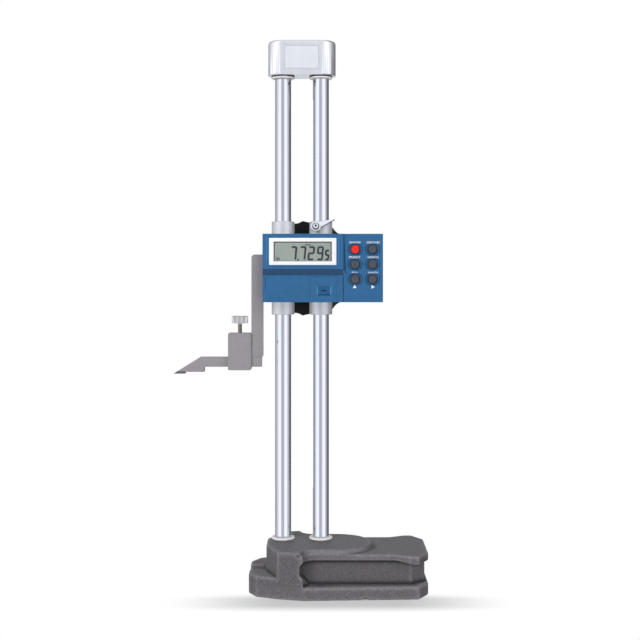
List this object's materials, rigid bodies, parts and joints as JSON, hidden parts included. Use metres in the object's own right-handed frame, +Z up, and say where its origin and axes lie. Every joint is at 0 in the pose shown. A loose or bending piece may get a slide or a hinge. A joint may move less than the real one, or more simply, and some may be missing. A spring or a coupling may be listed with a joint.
{
  "type": "height gauge",
  "caption": "Digital height gauge: cast base, twin polished columns with a rack, slider with display, hand wheel, lock lever and clamped scriber.",
  "frame": {"origin": "on the underside of the base, midway between the columns across and on the base's own axis front to back", "axes": "+Z up along the columns, +X to the right away from the scriber, -Y towards the person who reads the display"},
  "size_m": [0.2311, 0.1002, 0.5025],
  "materials": {
    "cast_iron_base": "dark grey hammered paint on rough casting",
    "polished_column": "ground and polished",
    "rack_steel": "machined",
    "white_ring": "satin moulded",
    "black_screw": "blackened",
    "satin_cap": "satin anodised",
    "satin_casting": "satin",
    "bronze_bush": "bored",
    "bright_screw": "nickel plated",
    "brass_part": "machined",
    "blue_plastic": "fine textured moulding",
    "white_bezel": "smooth",
    "clear_window": "clear",
    "display_panel": "grey-green liquid crystal",
    "grey_rubber": "moulded",
    "green_board": "solder resist",
    "blasted_steel": "sandblasted",
    "black_wheel": "satin moulded",
    "nickel_part": "nickel plated",
    "red_button": "smooth",
    "dark_button": "smooth",
    "carbide": "ground"
  },
  "bodies": {
    "base": {"base_casting": "cast_iron_base", "column_left": "polished_column", "column_right": "polished_column", "rack": "rack_steel", "lower_ring_left": "white_ring", "lower_ring_right": "white_ring", "upper_ring_left": "white_ring", "upper_ring_right": "white_ring", "column_bolts": "black_screw", "top_cap": "satin_cap", "cap_set_screws": "black_screw"},
    "slider": {"slider_casting": "satin_casting", "lower_bush_left": "bronze_bush", "lower_bush_right": "bronze_bush", "upper_bush_left": "bronze_bush", "upper_bush_right": "bronze_bush", "shaft_bush": "bronze_bush", "gear_cover": "satin_casting", "gear_cover_screws": "bright_screw", "plate_screws": "bright_screw", "lock_plug": "brass_part", "housing_back": "blue_plastic", "front_cover": "blue_plastic", "housing_screws": "bright_screw", "lcd_bezel": "white_bezel", "lcd_window": "clear_window", "lcd_panel": "display_panel", "contact_strip_lower": "grey_rubber", "contact_strip_upper": "grey_rubber", "circuit_board": "green_board", "keypad_mat": "grey_rubber", "battery": "bright_screw", "battery_contact": "brass_part", "scriber_arm": "blasted_steel", "arm_screws": "black_screw"},
    "hand_wheel": {"hand_wheel": "black_wheel", "wheel_shaft": "rack_steel", "drive_pinion": "brass_part", "wheel_screw": "bright_screw"},
    "encoder": {"encoder_gear": "brass_part", "encoder_shaft": "rack_steel", "encoder_disc": "rack_steel"},
    "lock_lever": {"lock_lever": "nickel_part", "lock_screw": "bright_screw"},
    "power_button": {"power_button": "red_button"},
    "zero_button": {"zero_button": "dark_button"},
    "preset_button": {"preset_button": "dark_button"},
    "data_button": {"data_button": "dark_button"},
    "sign_button": {"sign_button": "dark_button"},
    "unit_button": {"unit_button": "dark_button"},
    "battery_cover": {"battery_cover": "blue_plastic"},
    "scriber_clamp": {"scriber_clamp": "blasted_steel"},
    "clamp_pad": {"clamp_pad": "rack_steel"},
    "clamp_screw": {"clamp_screw": "nickel_part"},
    "scriber": {"scriber": "blasted_steel", "carbide_tip": "carbide"}
  },
  "joints": [
    {"name": "slider_travel", "type": "slide", "parent": "base", "child": "slider", "axis": [0, 0, 1], "range_m": [-0.196, 0.129]},
    {"name": "hand_wheel_turn", "type": "hinge", "parent": "slider", "child": "hand_wheel", "pos_m": [0.005, 0.01, 0.293], "axis": [0, 1, 0], "range_deg": [-1880, 1240]},
    {"name": "encoder_turn", "type": "hinge", "parent": "slider", "child": "encoder", "pos_m": [0.005, 0.01, 0.30808], "axis": [0, 1, 0], "range_deg": [-1880, 1240]},
    {"name": "lock_lever_turn", "type": "hinge", "parent": "slider", "child": "lock_lever", "pos_m": [0.0128, -0.0059, 0.331], "axis": [0, 1, 0], "range_deg": [-75, 12]},
    {"name": "battery_cover_slide", "type": "slide", "parent": "slider", "child": "battery_cover", "axis": [0, 0, -1], "range_m": [0, 0.022]},
    {"name": "scriber_clamp_slide", "type": "slide", "parent": "slider", "child": "scriber_clamp", "axis": [-1, 0, 0], "range_m": [0, 0.012]},
    {"name": "scriber_slide", "type": "slide", "parent": "scriber_clamp", "child": "scriber", "axis": [-1, 0, 0], "range_m": [-0.0025, 0.02]},
    {"name": "clamp_pad_slide", "type": "slide", "parent": "scriber_clamp", "child": "clamp_pad", "axis": [0, 0, 1], "range_m": [0, 0.00145]},
    {"name": "clamp_screw_turn", "type": "hinge", "parent": "clamp_pad", "child": "clamp_screw", "pos_m": [-0.0568, 0, 0.235], "axis": [0, 0, 1], "range_deg": [0, 720]},
    {"name": "power_button_press", "type": "slide", "parent": "slider", "child": "power_button", "axis": [0, 1, 0], "range_m": [0, 0.0008], "stiffness_N_per_m": 900},
    {"name": "zero_button_press", "type": "slide", "parent": "slider", "child": "zero_button", "axis": [0, 1, 0], "range_m": [0, 0.0008], "stiffness_N_per_m": 900},
    {"name": "preset_button_press", "type": "slide", "parent": "slider", "child": "preset_button", "axis": [0, 1, 0], "range_m": [0, 0.0008], "stiffness_N_per_m": 900},
    {"name": "data_button_press", "type": "slide", "parent": "slider", "child": "data_button", "axis": [0, 1, 0], "range_m": [0, 0.0008], "stiffness_N_per_m": 900},
    {"name": "sign_button_press", "type": "slide", "parent": "slider", "child": "sign_button", "axis": [0, 1, 0], "range_m": [0, 0.0008], "stiffness_N_per_m": 900},
    {"name": "unit_button_press", "type": "slide", "parent": "slider", "child": "unit_button", "axis": [0, 1, 0], "range_m": [0, 0.0008], "stiffness_N_per_m": 900}
  ],
  "couplings": [
    {"joint": "hand_wheel_turn", "follows": "slider_travel", "rad_per_m": 166.67},
    {"joint": "encoder_turn", "follows": "slider_travel", "rad_per_m": 166.67},
    {"joint": "clamp_pad_slide", "follows": "clamp_screw_turn", "m_per_rad": 0.00011141}
  ]
}
